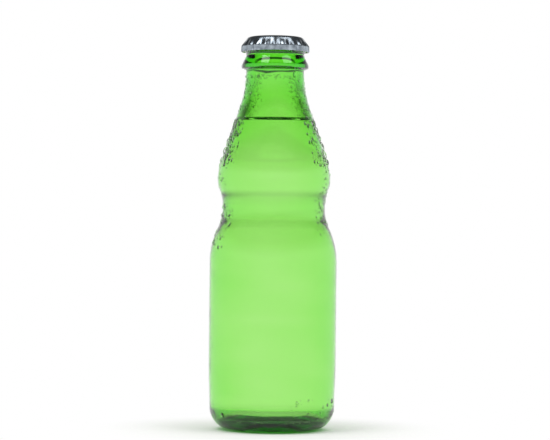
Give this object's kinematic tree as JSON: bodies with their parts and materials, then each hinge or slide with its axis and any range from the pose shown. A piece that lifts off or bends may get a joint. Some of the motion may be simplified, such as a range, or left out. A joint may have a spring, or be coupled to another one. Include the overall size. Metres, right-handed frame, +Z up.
{
  "type": "crown capped glass bottle",
  "caption": "Small waisted green glass bottle, filled with a clear drink and closed by a fluted steel crown cap that lifts off.",
  "frame": {"origin": "centre of the ring the bottle stands on, on the surface under it", "axes": "+Z up along the bottle's axis, towards the crown; +X and +Y are alike, because the glass is round"},
  "size_m": [0.0532, 0.0532, 0.1648],
  "materials": {
    "green_glass": "smooth moulded soda-lime glass, bright green, wet with droplets",
    "tinplate": "lacquered tinplate, satin",
    "liner": "soft moulded polyethylene, translucent white",
    "drink": "clear liquid"
  },
  "bodies": {
    "bottle": {"glass_bottle": "green_glass", "drink": "drink"},
    "crown": {"crown_shell": "tinplate", "crown_liner": "liner"}
  },
  "joints": [
    {"name": "crown_lift", "type": "slide", "parent": "bottle", "child": "crown", "axis": [0, 0, 1], "range_m": [0, 0.06]}
  ]
}
